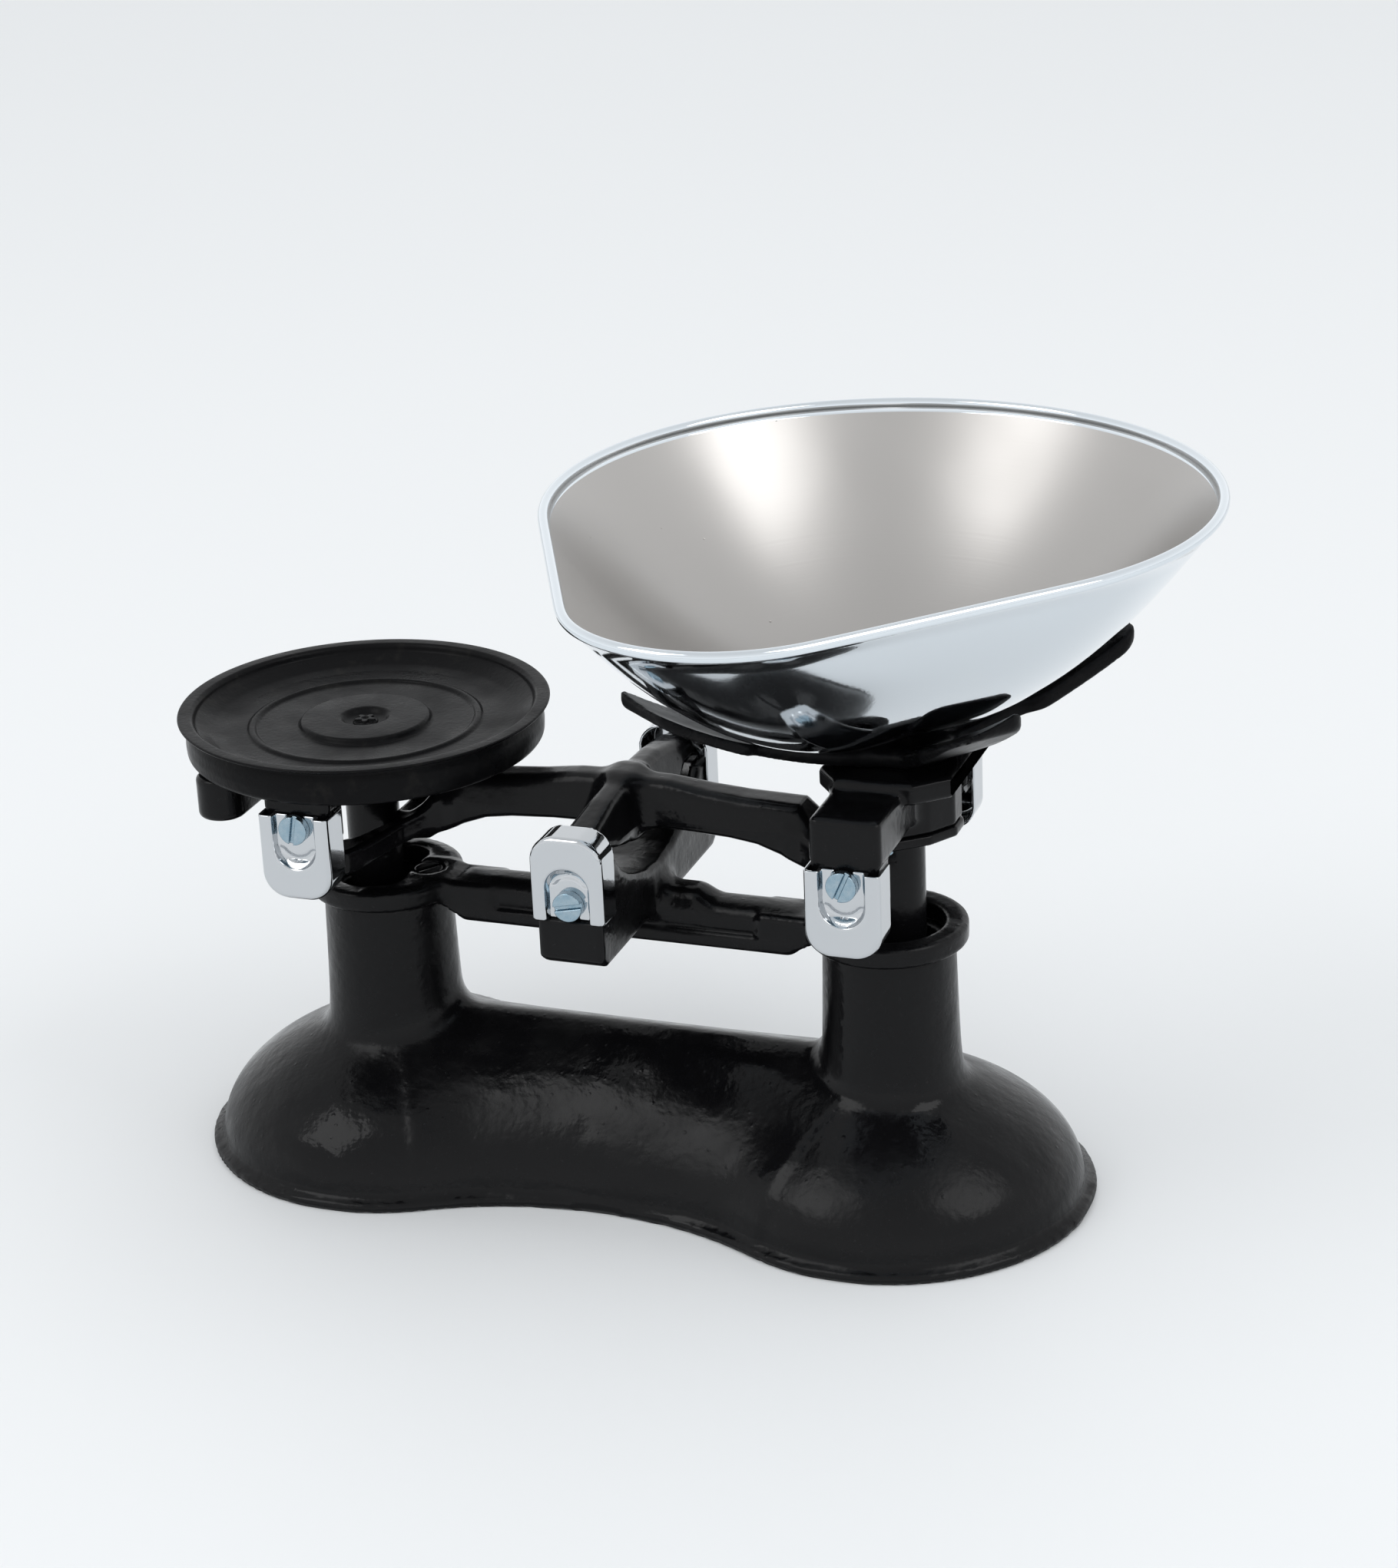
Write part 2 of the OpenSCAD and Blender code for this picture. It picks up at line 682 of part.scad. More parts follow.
module scoop() color([0.75, 0.75, 0.76]) {
    steps = 72;
    rings = 9;
    bead = 7;
    angles = [for (i = [0:steps - 1]) 360 * i / steps];
    loops = concat(
        [for (k = [1:rings]) [for (a = angles) bowl_at_s(a, k / rings * 0.985, 0)]],
        [for (k = [0:bead]) [for (a = angles) bead_at(a, -40 + 260 * k / bead)]],
        [for (k = [0:rings - 1]) [for (a = angles)
            bowl_at_s(a, (rings - k) / rings * 0.985, scoop_t)]]);
    count = len(loops);
    pts = concat([for (l = loops) for (p = l) p],
        [[bowl_at[0], bowl_at[1], bowl_z], [bowl_at[0], bowl_at[1], bowl_z + scoop_t]]);
    low = count * steps;
    faces = concat(
        [for (k = [0:count - 2]) for (i = [0:steps - 1])
            [k * steps + i, (k + 1) * steps + i, (k + 1) * steps + (i + 1) % steps]],
        [for (k = [0:count - 2]) for (i = [0:steps - 1])
            [k * steps + i, (k + 1) * steps + (i + 1) % steps, k * steps + (i + 1) % steps]],
        [for (i = [0:steps - 1]) [low, i, (i + 1) % steps]],
        [for (i = [0:steps - 1])
            [low + 1, (count - 1) * steps + (i + 1) % steps, (count - 1) * steps + i]]);
    polyhedron(points = pts, faces = faces);
}

// One arm of the spider: a bent strip that rises under the bowl, with a leaf at its end
module spider_arm(heading, leaf_start, reach, rise, bend) {
    steps = 12;
    low = spider_low + arm_inset;
    thick = spider_t - 2 * arm_inset;
    ds = [for (i = [0:steps]) arm_flat + (reach - arm_flat) * i / steps];
    function top(d) = low + thick + rise * (d - arm_flat) + bend * pow(d - arm_flat, 2);
    function slope(d) = sqrt(1 + pow(rise + 2 * bend * (d - arm_flat), 2));
    translate([arm, 0, 0]) rotate([0, 0, heading]) intersection() {
        rotate([90, 0, 0]) linear_extrude(60, center = true) polygon(concat(
            [[arm_root - 1, low + thick]],
            [for (d = ds) [d, top(d)]],
            [for (i = [steps:-1:0]) [ds[i], top(ds[i]) - thick * slope(ds[i])]],
            [[arm_root - 1, low]]));
        translate([0, 0, 100]) linear_extrude(110) polygon([
            [arm_root, -strap_half], [leaf_start - 2, -strap_half],
            [leaf_start + 2, -leaf_half], [reach - 7, -leaf_half],
            [reach - 1.5, -leaf_half + 4], [reach, -leaf_half + 8],
            [reach, leaf_half - 8], [reach - 1.5, leaf_half - 4],
            [reach - 7, leaf_half], [leaf_start + 2, leaf_half],
            [leaf_start - 2, strap_half], [arm_root, strap_half]]);
    }
}

module spider() color([0.05, 0.05, 0.055]) difference() {
    union() {
        translate([arm, 0, spider_low]) cylinder(r = hub_disc_r, h = spider_t);
        for (a = arms) spider_arm(a[0], a[1], a[2], a[3], a[4]);
    }
    both_y() translate([arm, spider_screw_y, 0]) {
        translate([0, 0, spider_low - 1]) cylinder(r = screw_r, h = 8, $fn = 48);
        translate([0, 0, spider_top - 1.75]) cylinder(r1 = screw_r + 0.05, r2 = 4.6, h = 1.8, $fn = 48);
    }
}

module spider_screws() color([0.05, 0.05, 0.055]) for (y = [-spider_screw_y, spider_screw_y])
    translate([arm, y, 0]) difference() {
        union() {
            translate([0, 0, spider_top - 1.7]) cylinder(r1 = screw_r, r2 = 4.4, h = 1.6, $fn = 48);
            translate([0, 0, hub_top - 6]) cylinder(r = screw_r, h = 9, $fn = 48);
        }
        rotate([0, 0, 14]) translate([-6, -0.6, spider_top - 0.9]) cube([12, 1.2, 2]);
    }

// ---- selection -----------------------------------------------------------

base_casting();
bridge_casting();
bridge_screws();
centre_bearing_front();
centre_bearing_rear();
centre_cap_front();
centre_cap_rear();
centre_cap_screws();
stay_pivot_pin();
stay_link();
beam_casting();
centre_knife_front();
centre_knife_rear();
left_knife_front();
left_knife_rear();
right_knife_front();
right_knife_rear();
left_carrier();
left_stem();
left_bearing_front();
left_bearing_rear();
left_cap_front();
left_cap_rear();
left_cap_screws();
left_stay_pin();
weight_plate();
plate_rivet();
right_carrier();
right_stem();
right_bearing_front();
right_bearing_rear();
right_cap_front();
right_cap_rear();
right_cap_screws();
right_stay_pin();
box_lid();
lid_screws();
balance_lead();
tare_lead();
spider();
spider_screws();
scoop();
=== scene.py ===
import math

import bpy
import numpy as np
from mathutils import Matrix, Vector


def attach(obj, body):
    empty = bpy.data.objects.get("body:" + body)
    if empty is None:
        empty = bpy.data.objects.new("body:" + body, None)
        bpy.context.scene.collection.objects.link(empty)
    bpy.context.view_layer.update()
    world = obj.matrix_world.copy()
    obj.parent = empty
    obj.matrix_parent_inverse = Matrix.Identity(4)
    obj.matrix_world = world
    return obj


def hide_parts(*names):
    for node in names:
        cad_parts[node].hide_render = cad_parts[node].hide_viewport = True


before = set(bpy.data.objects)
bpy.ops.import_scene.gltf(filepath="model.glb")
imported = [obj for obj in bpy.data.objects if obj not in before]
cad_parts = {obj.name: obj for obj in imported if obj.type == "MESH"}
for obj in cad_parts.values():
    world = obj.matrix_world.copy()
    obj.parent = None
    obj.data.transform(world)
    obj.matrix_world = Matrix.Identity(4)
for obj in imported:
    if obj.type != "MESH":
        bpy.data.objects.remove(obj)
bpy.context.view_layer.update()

MM = 0.001
ARM, KNIFE_Z, COL_X = 80.0, 108.0, 77.0
# Scoop: its deepest point, rim height, and the radii and spacing of its two round ends
BOWL_X, BOWL_Y, BOWL_Z, RIM_Z, POWER = 75.7, 7.2, 142.0, 205.0, 2.1
ROUND_R, POUR_R, SCOOP_LEN = 92, 42, 89.9

# ---- shape fields: signed distances in millimetres -------------------------


def smin(a, b, k):
    h = np.clip(0.5 + 0.5 * (b - a) / k, 0, 1)
    return b * (1 - h) + a * h - k * h * (1 - h)


def smax(a, b, k):
    return -smin(-a, -b, k)


def ring(x, y):
    return np.sqrt(x * x + y * y)


def both(d, w, r):
    """Combines two outline distances into a solid with its edges rounded by r."""
    a, b = d + r, w + r
    return ring(np.maximum(a, 0), np.maximum(b, 0)) + np.minimum(np.maximum(a, b), 0) - r


def slab(w, lo, hi):
    return np.abs(w - (lo + hi) / 2) - (hi - lo) / 2


def rect(u, v, u0, u1, v0, v1, r=0.0):
    return both(slab(u, u0, u1), slab(v, v0, v1), r)


def block(p, lo, hi, r):
    q = [np.abs(p[i] - (lo[i] + hi[i]) / 2) - (hi[i] - lo[i]) / 2 + r for i in range(3)]
    out = np.sqrt(sum(np.maximum(a, 0) ** 2 for a in q))
    return out + np.minimum(np.maximum(np.maximum(q[0], q[1]), q[2]), 0) - r


def poly(u, v, pts):
    """Signed distance to a closed outline."""
    pts = np.asarray(pts, float)
    best = np.full(np.shape(u), 1e9, np.float32)
    inside = np.zeros(np.shape(u), bool)
    for i in range(len(pts)):
        (ax, ay), (bx, by) = pts[i - 1], pts[i]
        ex, ey = bx - ax, by - ay
        wx, wy = u - ax, v - ay
        t = np.clip((wx * ex + wy * ey) / (ex * ex + ey * ey), 0, 1)
        best = np.minimum(best, (wx - t * ex) ** 2 + (wy - t * ey) ** 2)
        if ay != by:
            cross = (ay > v) != (by > v)
            inside ^= cross & (u < (bx - ax) * (v - ay) / (by - ay) + ax)
    best = np.sqrt(best)
    return np.where(inside, -best, best)


def net(f, lo, hi, h):
    """Meshes a field with one vertex per crossed cell, then slides the vertices onto it."""
    ax = [np.arange(lo[i] - 1.5 * h, hi[i] + 2 * h, h, dtype=np.float32) for i in range(3)]
    n = [len(a) for a in ax]
    val = np.asarray(f(*np.meshgrid(*ax, indexing="ij")), np.float32)
    assert np.isfinite(val).all() and (val < 0).any(), "a shape field is broken or empty"
    ins = val < 0
    count = np.zeros([m - 1 for m in n], np.int8)
    corners = [(i, j, k) for i in (0, 1) for j in (0, 1) for k in (0, 1)]
    for i, j, k in corners:
        count += ins[i:n[0] - 1 + i, j:n[1] - 1 + j, k:n[2] - 1 + k]
    live = (count > 0) & (count < 8)
    index = np.full(live.shape, -1, np.int64)
    cells = np.nonzero(live)
    index[cells] = np.arange(len(cells[0]))
    pos = np.zeros((len(cells[0]), 3))
    hits = np.zeros(len(cells[0]))
    for a in corners:
        for d in range(3):
            if a[d]:
                continue
            b = list(a)
            b[d] = 1
            va = val[cells[0] + a[0], cells[1] + a[1], cells[2] + a[2]]
            vb = val[cells[0] + b[0], cells[1] + b[1], cells[2] + b[2]]
            m = (va < 0) != (vb < 0)
            t = np.where(m, va / np.where(m, va - vb, 1), 0)
            for e in range(3):
                pos[:, e] += m * (a[e] + t * (e == d))
            hits += m
    pos = pos / hits[:, None] + np.stack(cells, 1)
    pos = pos * h + np.array([a[0] for a in ax])
    for _ in range(3):
        e = 0.12 * h
        v0 = f(*pos.T)
        g = np.stack([(f(*(pos + e * d).T) - f(*(pos - e * d).T)) / (2 * e) for d in np.eye(3)], 1)
        step = -(v0 / np.maximum((g * g).sum(1), 0.2))[:, None] * g
        size = np.maximum(np.linalg.norm(step, axis=1, keepdims=True), 1e-9)
        pos = pos + step * np.minimum(1, 0.5 * h / size)
    quads = []
    for d in range(3):
        a, b = [(1, 2), (2, 0), (0, 1)][d]
        lo_s = [slice(1, None)] * 3
        hi_s = [slice(1, None)] * 3
        lo_s[d], hi_s[d] = slice(0, -1), slice(1, None)
        s0, s1 = ins[tuple(lo_s)], ins[tuple(hi_s)]
        at = np.stack(np.nonzero(s0 != s1), 1)
        at[:, a] += 1
        at[:, b] += 1
        ok = (at[:, a] < n[a] - 1) & (at[:, b] < n[b] - 1)
        at = at[ok]
        first = ins[tuple(at.T)]
        q = []
        for da, db in ((1, 1), (0, 1), (0, 0), (1, 0)):
            c = at.copy()
            c[:, a] -= da
            c[:, b] -= db
            q.append(index[tuple(c.T)])
        q = np.stack(q, 1)
        quads.append(np.where(first[:, None], q, q[:, ::-1]))
    return pos, np.concatenate(quads)


# ---- mesh objects ----------------------------------------------------------


def piece(name, verts, faces, mats, body, nodes, slot, picks=None):
    """Adds a smooth-shaded mesh that stands for the named CAD nodes and rides on a body."""
    me = bpy.data.meshes.new(name)
    me.from_pydata((np.asarray(verts) * MM).tolist(), [], np.asarray(faces).tolist()
                   if not isinstance(faces, list) else faces)
    me.update()
    me.validate()
    for m in mats:
        me.materials.append(m)
    if picks is not None:
        me.polygons.foreach_set("material_index", np.asarray(picks, np.int32))
    me.polygons.foreach_set("use_smooth", [True] * len(me.polygons))
    ob = bpy.data.objects.new(name, me)
    bpy.context.scene.collection.objects.link(ob)
    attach(ob, body)
    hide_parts(*nodes)
    return ob


def placed(mesh, matrix):
    """A copy of a mesh moved by a 4x4 matrix, its faces turned round if it mirrors."""
    v, q = mesh
    m = np.array(matrix)
    w = v @ m[:3, :3].T + m[:3, 3]
    return w, (q[:, ::-1] if np.linalg.det(m[:3, :3]) < 0 else q)


def joined(*meshes):
    v, q, at = [], [], 0
    for a, b in meshes:
        v.append(a)
        q.append(b + at)
        at += len(a)
    return np.concatenate(v), np.concatenate(q)


def rounded(pts, r, steps=4):
    """An open outline with its inner corners turned into arcs."""
    pts = [np.array(p, float) for p in pts]
    out = [pts[0]]
    for a, b, c in zip(pts, pts[1:], pts[2:]):
        u, w = (a - b), (c - b)
        lu, lw = np.linalg.norm(u), np.linalg.norm(w)
        k = min(r, 0.45 * lu, 0.45 * lw)
        p0, p1 = b + u / lu * k, b + w / lw * k
        for i in range(steps + 1):
            t = i / steps
            out.append((1 - t) ** 2 * p0 + 2 * t * (1 - t) * b + t * t * p1)
    return out + [pts[-1]]


def lathe(profile, seg, centre):
    """Turns an outline of (radius, height), both ends on the axis, round a vertical axis."""
    verts, faces = [], []
    inner = [p for p in profile if p[0] > 1e-6]
    for r, z in inner:
        for i in range(seg):
            a = 2 * math.pi * i / seg
            verts.append((centre[0] + r * math.cos(a), centre[1] + r * math.sin(a), z))
    for j in range(len(inner) - 1):
        for i in range(seg):
            k = (i + 1) % seg
            faces.append((j * seg + i, j * seg + k, (j + 1) * seg + k, (j + 1) * seg + i))
    lo = len(verts)
    verts += [(centre[0], centre[1], end[1]) for end in (profile[0], profile[-1])]
    last = (len(inner) - 1) * seg
    for i in range(seg):
        k = (i + 1) % seg
        faces.append((lo, k, i))
        faces.append((lo + 1, last + i, last + k))
    return verts, faces


# ---- materials -------------------------------------------------------------


class Mat:
    """A Principled material with short calls for adding nodes in object space."""

    def __init__(self, name, color, rough, metal=0.0, **sockets):
        self.m = bpy.data.materials.new(name)
        self.m.use_nodes = True
        self.t = self.m.node_tree
        self.p = self.t.nodes["Principled BSDF"]
        self.set("Base Color", (*color, 1))
        self.set("Roughness", rough)
        self.set("Metallic", metal)
        for k, v in sockets.items():
            self.set(k.replace("_", " "), v)
        co = self.t.nodes.new("ShaderNodeTexCoord")
        self.co = co.outputs["Object"]

    def set(self, socket, value):
        self.p.inputs[socket].default_value = value

    def node(self, kind, **values):
        n = self.t.nodes.new(kind)
        for k, v in values.items():
            if k in n.inputs:
                n.inputs[k].default_value = v
            else:
                setattr(n, k, v)
        return n

    def link(self, a, b):
        self.t.links.new(a, b)

    def noise(self, scale, detail=2.0, rough=0.5, vector=None):
        n = self.node("ShaderNodeTexNoise", Scale=scale, Detail=detail, Roughness=rough)
        self.link(vector or self.co, n.inputs["Vector"])
        return n.outputs["Fac"]

    def spots(self, scale):
        n = self.node("ShaderNodeTexVoronoi", Scale=scale)
        self.link(self.co, n.inputs["Vector"])
        return n.outputs["Distance"]

    def span(self, value, a, b, c, d):
        n = self.node("ShaderNodeMapRange")
        self.link(value, n.inputs["Value"])
        for name, v in zip(("From Min", "From Max", "To Min", "To Max"), (a, b, c, d)):
            n.inputs[name].default_value = v
        return n.outputs["Result"]

    def math(self, op, a, b):
        n = self.node("ShaderNodeMath", operation=op)
        for i, v in enumerate((a, b)):
            if isinstance(v, (int, float)):
                n.inputs[i].default_value = v
            else:
                self.link(v, n.inputs[i])
        return n.outputs[0]

    def mix(self, fac, a, b):
        n = self.node("ShaderNodeMix", data_type="RGBA")
        self.link(fac, n.inputs["Factor"])
        n.inputs["A"].default_value = (*a, 1)
        n.inputs["B"].default_value = (*b, 1)
        return n.outputs["Result"]

    def bump(self, layers):
        """Adds bumps one on another: (height, strength, distance in metres)."""
        last = None
        for height, strength, dist in layers:
            n = self.node("ShaderNodeBump", Strength=strength, Distance=dist)
            self.link(height, n.inputs["Height"])
            if last:
                self.link(last, n.inputs["Normal"])
            last = n.outputs["Normal"]
        self.link(last, self.p.inputs["Normal"])


def enamel(name, rough, peel, lumps):
    m = Mat(name, (0.004, 0.004, 0.0045), rough, Specular_IOR_Level=0.17)
    dust = m.span(m.noise(900, 3, 0.6), 0.66, 0.8, 0, 1)
    m.link(m.mix(dust, (0.0035, 0.0035, 0.004), (0.014, 0.014, 0.015)), m.p.inputs["Base Color"])
    m.link(m.span(m.noise(38, 4, 0.6), 0.35, 0.7, rough * 0.6, rough * 1.9),
           m.p.inputs["Roughness"])
    m.bump([(m.noise(26, 2), 0.35 * lumps, 0.0035), (m.noise(95, 3), 0.4 * lumps, 0.0011),
            (m.noise(420, 2), 0.28 * peel, 0.00035),
            (m.span(m.spots(230), 0.0, 0.16, 1, 0), 0.3 * peel, 0.00025)])
    return m.m


def build_materials():
    mats = {}
    mats["enamel"] = enamel("enamel_gloss", 0.2, 1.0, 1.0)
    mats["enamel_machined"] = enamel("enamel_gloss_even", 0.17, 0.7, 0.45)

    m = Mat("enamel_satin", (0.005, 0.005, 0.006), 0.28, Specular_IOR_Level=0.07)
    worn = m.span(m.noise(160, 4, 0.6), 0.56, 0.75, 0, 1)
    m.link(m.mix(worn, (0.0045, 0.0045, 0.005), (0.011, 0.0105, 0.01)), m.p.inputs["Base Color"])
    m.link(m.span(m.noise(70, 4), 0.3, 0.7, 0.22, 0.42), m.p.inputs["Roughness"])
    m.bump([(m.noise(60, 2), 0.25, 0.001), (m.noise(700, 3), 0.3, 0.0003)])
    mats["satin"] = m.m

    m = Mat("chrome_cover", (0.56, 0.58, 0.6), 0.1, 1.0)
    m.link(m.span(m.noise(220, 4), 0.35, 0.75, 0.03, 0.12), m.p.inputs["Roughness"])
    m.bump([(m.noise(45, 2), 0.12, 0.0006), (m.noise(1400, 2), 0.05, 0.0001)])
    mats["chrome"] = m.m

    m = Mat("chrome_outside", (0.74, 0.79, 0.83), 0.06, 1.0)
    m.link(m.span(m.noise(40, 4), 0.35, 0.75, 0.03, 0.1), m.p.inputs["Roughness"])
    m.bump([(m.noise(14, 2), 0.25, 0.0012), (m.noise(900, 2), 0.04, 0.0001)])
    mats["outside"] = m.m

    # Bowl inside: fine turning lines round the deepest point and faint pits; its darker, browner colour
    # than the outside chrome and its broad brown patches are a painted reflection of a dark surround
    m = Mat("chrome_inside", (0.72, 0.7, 0.68), 0.22, 1.0)
    shift = m.node("ShaderNodeVectorMath", operation="SUBTRACT")
    m.link(m.co, shift.inputs[0])
    shift.inputs[1].default_value = (BOWL_X * MM, BOWL_Y * MM, 0.0)
    flat = m.node("ShaderNodeVectorMath", operation="MULTIPLY")
    m.link(shift.outputs[0], flat.inputs[0])
    flat.inputs[1].default_value = (1, 1, 0)
    length = m.node("ShaderNodeVectorMath", operation="LENGTH")
    m.link(flat.outputs[0], length.inputs[0])
    rad = length.outputs["Value"]
    line = m.node("ShaderNodeTexNoise", noise_dimensions="1D", Scale=1500.0, Detail=3.0)
    m.link(rad, line.inputs["W"])
    broad_rough_and_painted_reflection = m.noise(9, 3, 0.55)
    pit = m.span(m.spots(120), 0.03, 0.05, 1, 0)
    pit = m.math("MULTIPLY", pit, m.span(m.noise(31, 1), 0.5, 0.56, 0, 1))
    m.link(m.span(broad_rough_and_painted_reflection, 0.3, 0.7, 0.29, 0.41), m.p.inputs["Roughness"])
    # Base colour: pits, plus broad brown patches that are painted reflection, on a brown-grey tone darker
    # than the outside chrome (also painted reflection)
    m.link(m.mix(m.math("MAXIMUM", pit, m.span(broad_rough_and_painted_reflection, 0.5, 0.9, 0, 0.35)), (0.47, 0.455, 0.44),
                 (0.23, 0.212, 0.195)), m.p.inputs["Base Color"])
    m.bump([(line.outputs["Fac"], 0.05, 0.0002), (m.noise(18, 2), 0.2, 0.0008), (pit, 0.4, -0.0003)])
    mats["inside"] = m.m

    m = Mat("zinc_screw", (0.55, 0.66, 0.72), 0.2, 1.0)
    m.link(m.mix(m.noise(500, 2), (0.2, 0.33, 0.42), (0.42, 0.5, 0.55)), m.p.inputs["Base Color"])
    m.link(m.span(m.noise(800, 3), 0.3, 0.7, 0.14, 0.34), m.p.inputs["Roughness"])
    m.bump([(m.noise(1500, 2), 0.15, 0.0001)])
    mats["zinc"] = m.m

    m = Mat("tool_steel", (0.42, 0.42, 0.43), 0.3, 1.0)
    m.link(m.span(m.noise(900, 3), 0.3, 0.7, 0.2, 0.42), m.p.inputs["Roughness"])
    m.link(m.mix(m.noise(140, 3), (0.36, 0.36, 0.37), (0.5, 0.49, 0.47)), m.p.inputs["Base Color"])
    m.bump([(m.noise(1200, 2), 0.2, 0.0001)])
    mats["steel"] = m.m

    m = Mat("cast_weight", (0.14, 0.14, 0.145), 0.65, 0.6)
    m.link(m.mix(m.noise(300, 4), (0.1, 0.1, 0.105), (0.2, 0.2, 0.2)), m.p.inputs["Base Color"])
    m.bump([(m.noise(600, 3), 0.5, 0.0004)])
    mats["weight_metal"] = m.m
    return mats


M = build_materials()

# ---- base ------------------------------------------------------------------

FOOT_R, DOME_H, LOBE_R = 54.5, 40, 58
COL_R, COL_TOP = 19.6, 78.6
RIDGE_TOP, RIDGE_HALF = 42.5, 37
WAIST_R, WAIST_Y = 107.5, 146.5


def bell_r(z):
    """Radius of a lobe: a low dome that runs into the column with a fillet."""
    u = np.clip(z / DOME_H, 0, 1)
    dome = np.where(z < DOME_H, FOOT_R * (1 - u ** 2.4) ** 0.85, 5 * (DOME_H - z))
    col = COL_R - 0.9 * np.clip((z - DOME_H) / (COL_TOP - DOME_H), 0, 1)
    return (dome + col + np.sqrt((dome - col) ** 2 + 64)) / 2


def bell(z):
    slope = (bell_r(z + 0.2) - bell_r(np.maximum(z - 0.2, 0))) / 0.4
    return bell_r(z), 1 / np.sqrt(1 + slope * slope)


STEP = [RIDGE_TOP * math.sin(math.pi / 2 * i / 18) for i in range(18)]
RIDGE = [(RIDGE_HALF * (1 - (h / RIDGE_TOP) ** 1.8) ** 0.7, h) for h in STEP]
RIDGE = [(-w, h) for w, h in RIDGE] + [(0, RIDGE_TOP)] + RIDGE[::-1]


def base_field(x, y, z):
    x, y = np.abs(x), np.abs(y)
    r, flat = bell(np.maximum(z, 0))
    col = ring(x - COL_X, y)
    bells = (col - r) * flat
    waist = (WAIST_R + LOBE_R - r - ring(x, y - WAIST_Y)) * flat
    zone = (x * WAIST_Y + y * COL_X - COL_X * WAIST_Y) / (WAIST_R + LOBE_R)
    saddle = np.maximum(smax(waist, z - 34.5, 3), zone)
    ridge = np.maximum(poly(y, z, RIDGE), x - 70)
    body = smin(smin(bells, saddle, 3), ridge, 7)
    plan = np.minimum(col - LOBE_R, np.maximum(WAIST_R - ring(x, y - WAIST_Y), zone))
    lip = both(plan, slab(z, 0, 2.7), 0.9)
    full = smin(body, lip, 2.2)
    hollow = np.minimum(body + 5, col - 14)
    d = smax(full, -hollow, 1)
    d = smax(d, z - COL_TOP, 1)
    lug = np.maximum(np.minimum(ring(x, z - 22) - 7, rect(x, z, -7, 7, 22, 40)),
                     slab(y, 4, 8))
    lug = np.maximum(lug, body + 1)
    rib = block((x, y, z), (-4, -36, 0), (4, 36, 6), 0.8)
    return np.maximum(np.minimum(smin(d, lug, 1.5), rib), -z)


piece("base_body", *net(base_field, (-136, -59, 0), (136, 59, 79), 1.7), [M["enamel"]],
      "base", ["base_casting"], "enamel")

# ---- bridge ----------------------------------------------------------------

BRIDGE_SCREW_X = 63.5
CRADLE = [(-47.3, 95.6), (-47.3, 84), (-44, 81.5), (44, 81.5), (47.3, 84), (47.3, 95.6),
          (45.2, 95.6), (45.2, 110.2), (34.5, 110.2), (29.7, 105), (24, 101.3), (17.7, 98.6),
          (10, 96.4), (0, 95.4), (-10, 96.4), (-17.7, 98.6), (-24, 101.3), (-29.7, 105),
          (-34.5, 110.2), (-45.2, 110.2), (-45.2, 95.6)]


def bridge_field(x, y, z):
    sx = np.abs(x)
    col = ring(sx - COL_X, y)
    collar = both(col - 22.5, slab(z, 78.65, 84.75), 1.4)
    neck = both(rect(sx, y, 40, 70, -8, 8, 2), slab(z, 74, 84.75), 2.2)
    neck = np.maximum(neck, 74 + np.clip(sx - 51, 0, 9) * 0.6 - z)
    web = both(np.maximum(col - 20, sx - 76), slab(z, 78.65, 84.75), 1.4)
    e = np.clip((sx - 20) / 8, 0, 1)
    fall = 3 * e * e * (3 - 2 * e) + 0.1 * np.clip(sx - 40, 0, 12)
    bar = rect(y, z + fall * np.clip((z - 78) / 8, 0, 1), -7, 7, 75, 89, 6.2)
    bar = smin(bar, rect(y, z, -8.3, 8.3, 73, 77.8, 1.6), 1.2)
    bar = smax(bar, sx - 51.5, 3)
    cradle = both(poly(y, z, CRADLE), sx - 9.6, 1.3)
    d = smin(smin(smin(collar, web, 2), neck, 2.5), bar, 1.5)
    d = smin(d, cradle, 6)
    hole = smax(col - 16, 67.7 - sx, 5)
    d = smax(d, -hole, 1.2)
    d = smax(d, -both(ring(sx - BRIDGE_SCREW_X, y) - 5.1, slab(z, 83.4, 99), 0.2), 0.5)
    pocket = rect(x, np.abs(y), -6.3, 6.3, 27.2, 43.3)
    pocket = np.maximum(pocket, np.where(np.abs(y) > 36.4, 104 - z, 105.6 - z))
    return np.maximum(d, -pocket)


piece("bridge_body", *net(bridge_field, (-100, -48, 72), (100, 48, 111), 0.95), [M["enamel"]],
      "base", ["bridge_casting"], "enamel")

# ---- beam ------------------------------------------------------------------

SIDE = [(0, 121.6), (14, 121.2), (25, 119.6), (36, 118.6), (53, 118), (58, 112), (63, 104.3),
        (70, 104.3), (70, 97), (60, 97), (57, 99), (49, 102.8), (41, 105.8), (33, 107),
        (20, 107.8), (0, 108)]
SIDE = SIDE + [(-a, b) for a, b in SIDE[-2:0:-1]]
CROSS = [(0, 121.6), (8, 121.6), (20, 120.8), (38, 118), (42.8, 116.5), (42.8, 112), (33, 112),
         (26, 109.4), (17, 106.4), (8, 104.5), (0, 104.5)]
CROSS = CROSS + [(-a, b) for a, b in CROSS[-2:0:-1]]
YOKE = [(55, 7.2), (63, 16), (68.5, 32), (71, 37), (75, 38.6), (86.5, 38.6), (86.5, 29.5),
        (79, 28.5), (74, 24), (69.5, 14), (68, 6), (68, 0), (50, 0), (50, 7.2)]
YOKE = [(a, b) for a, b in YOKE if b > 0] + [(a, -b) for a, b in YOKE[::-1] if b > 0]


def knife_cut(y, z, x, up, y0, y1):
    side = np.abs(x) * math.cos(math.radians(30))
    lift = (z - KNIFE_Z if up else KNIFE_Z - z) * math.sin(math.radians(30))
    return np.maximum(side + lift, np.maximum(slab(np.abs(y), y0, y1),
                                              np.abs(z - KNIFE_Z) - 7))


